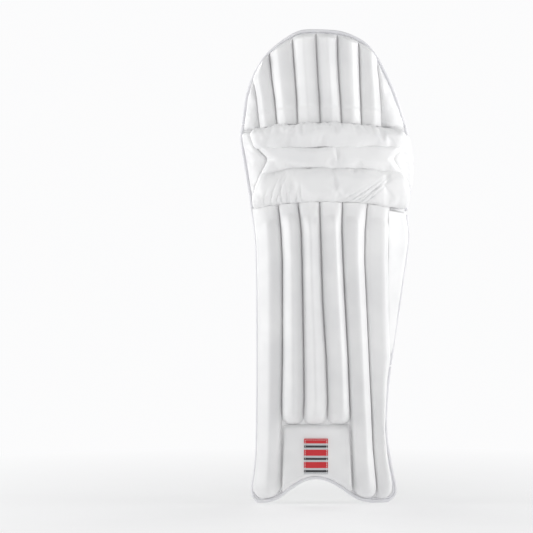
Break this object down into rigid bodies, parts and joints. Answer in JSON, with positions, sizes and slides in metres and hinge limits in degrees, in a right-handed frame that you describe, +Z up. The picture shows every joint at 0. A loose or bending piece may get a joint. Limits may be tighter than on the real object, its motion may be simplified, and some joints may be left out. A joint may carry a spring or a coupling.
{
  "type": "cricket leg pad",
  "caption": "White batting pad with vertical front bolsters, knee rolls, a rounded top, a side wing and fastening straps behind.",
  "frame": {"origin": "on the ground under the middle of the bounding box, level with the bottom of the feet", "axes": "+Z up along the shin, -Y the front that faces the ball, +X towards the wing on the outside of the leg"},
  "size_m": [0.2581, 0.1248, 0.7],
  "materials": {
    "cover": "soft white coated leather",
    "piping": "white leather piping",
    "foam": "dense white foam board",
    "lining": "light grey woven lining",
    "mesh": "grey air mesh",
    "towelling": "grey brushed towelling",
    "pillow": "soft white coated leather",
    "lime": "bright lime coated fabric",
    "teal": "teal ribbed webbing",
    "label": "plain red woven label",
    "webbing": "checked black and grey webbing",
    "tab": "white coated strap end with lime binding",
    "hook": "hook side of the fastening tape",
    "cane": "split cane",
    "plate": "stiff plastic sheet"
  },
  "bodies": {
    "shin": {"shin_backing": "foam", "shin_lining": "lining", "shin_piping": "piping", "shin_bolster_inner": "cover", "shin_bolsters_middle": "cover", "shin_bolsters_wing": "cover", "shin_rods": "cane", "instep_panel": "cover", "instep_label": "label", "leg_bolster_wing": "pillow", "leg_bolster_inner": "pillow", "shin_strip": "teal", "bolster_piping": "lime", "ankle_pads": "lining", "calf_anchor": "webbing", "ankle_anchor": "webbing"},
    "knee": {"knee_backing": "foam", "knee_plate": "plate", "knee_roll_upper": "cover", "knee_roll_middle": "cover", "knee_roll_lower": "cover", "knee_flank_inner": "cover", "knee_flank_wing": "cover", "knee_lining": "lining", "knee_pillow_wing": "pillow", "knee_pillow_center": "towelling", "knee_pillow_inner": "pillow", "knee_piping": "piping", "knee_anchor": "webbing"},
    "top": {"top_backing": "foam", "top_bolsters": "cover", "top_rods": "cane", "top_flanks": "cover", "top_lining": "lining", "top_mesh": "mesh", "top_chevron": "lime", "top_label": "label", "top_piping": "piping"},
    "wing": {"wing_panel": "cover", "wing_lining": "lining", "wing_piping": "piping"},
    "knee_strap": {"knee_webbing": "webbing"},
    "knee_strap_end": {"knee_tab": "tab", "knee_hook_patch": "hook"},
    "calf_strap": {"calf_webbing": "webbing"},
    "calf_strap_end": {"calf_tab": "tab", "calf_hook_patch": "hook"},
    "ankle_strap": {"ankle_webbing": "webbing"},
    "ankle_strap_end": {"ankle_tab": "tab", "ankle_hook_patch": "hook"}
  },
  "joints": [
    {"name": "knee_bend", "type": "hinge", "parent": "shin", "child": "knee", "pos_m": [0, 0.0015, 0.44], "axis": [-1, 0, 0], "range_deg": [-3, 15], "stiffness_Nm_per_rad": 12},
    {"name": "top_bend", "type": "hinge", "parent": "knee", "child": "top", "pos_m": [0, 0.0015, 0.556], "axis": [-1, 0, 0], "range_deg": [-3, 15], "stiffness_Nm_per_rad": 12},
    {"name": "wing_flex", "type": "hinge", "parent": "shin", "child": "wing", "pos_m": [0.0895, -0.0017, 0.3], "axis": [0, 0, -1], "range_deg": [-6, 30]},
    {"name": "knee_strap_swing", "type": "hinge", "parent": "knee", "child": "knee_strap", "pos_m": [-0.118, 0.0215, 0.472], "axis": [-0.0698, 0, 0.9976], "range_deg": [0, 110]},
    {"name": "knee_strap_curl", "type": "hinge", "parent": "knee_strap", "child": "knee_strap_end", "pos_m": [0.0486, 0.0607, 0.48365], "axis": [-0.0698, 0, 0.9976], "range_deg": [-4, 60]},
    {"name": "calf_strap_swing", "type": "hinge", "parent": "shin", "child": "calf_strap", "pos_m": [-0.105, 0.0145, 0.361], "axis": [0, 0, 1], "range_deg": [0, 110]},
    {"name": "calf_strap_curl", "type": "hinge", "parent": "calf_strap", "child": "calf_strap_end", "pos_m": [0.049, 0.0607, 0.361], "axis": [0, 0, 1], "range_deg": [-4, 60]},
    {"name": "ankle_strap_swing", "type": "hinge", "parent": "shin", "child": "ankle_strap", "pos_m": [-0.105, 0.0145, 0.139], "axis": [0, 0, 1], "range_deg": [0, 110]},
    {"name": "ankle_strap_curl", "type": "hinge", "parent": "ankle_strap", "child": "ankle_strap_end", "pos_m": [0.049, 0.0607, 0.139], "axis": [0, 0, 1], "range_deg": [-4, 60]}
  ],
  "couplings": [
    {"joint": "top_bend", "follows": "knee_bend", "ratio": 1}
  ]
}
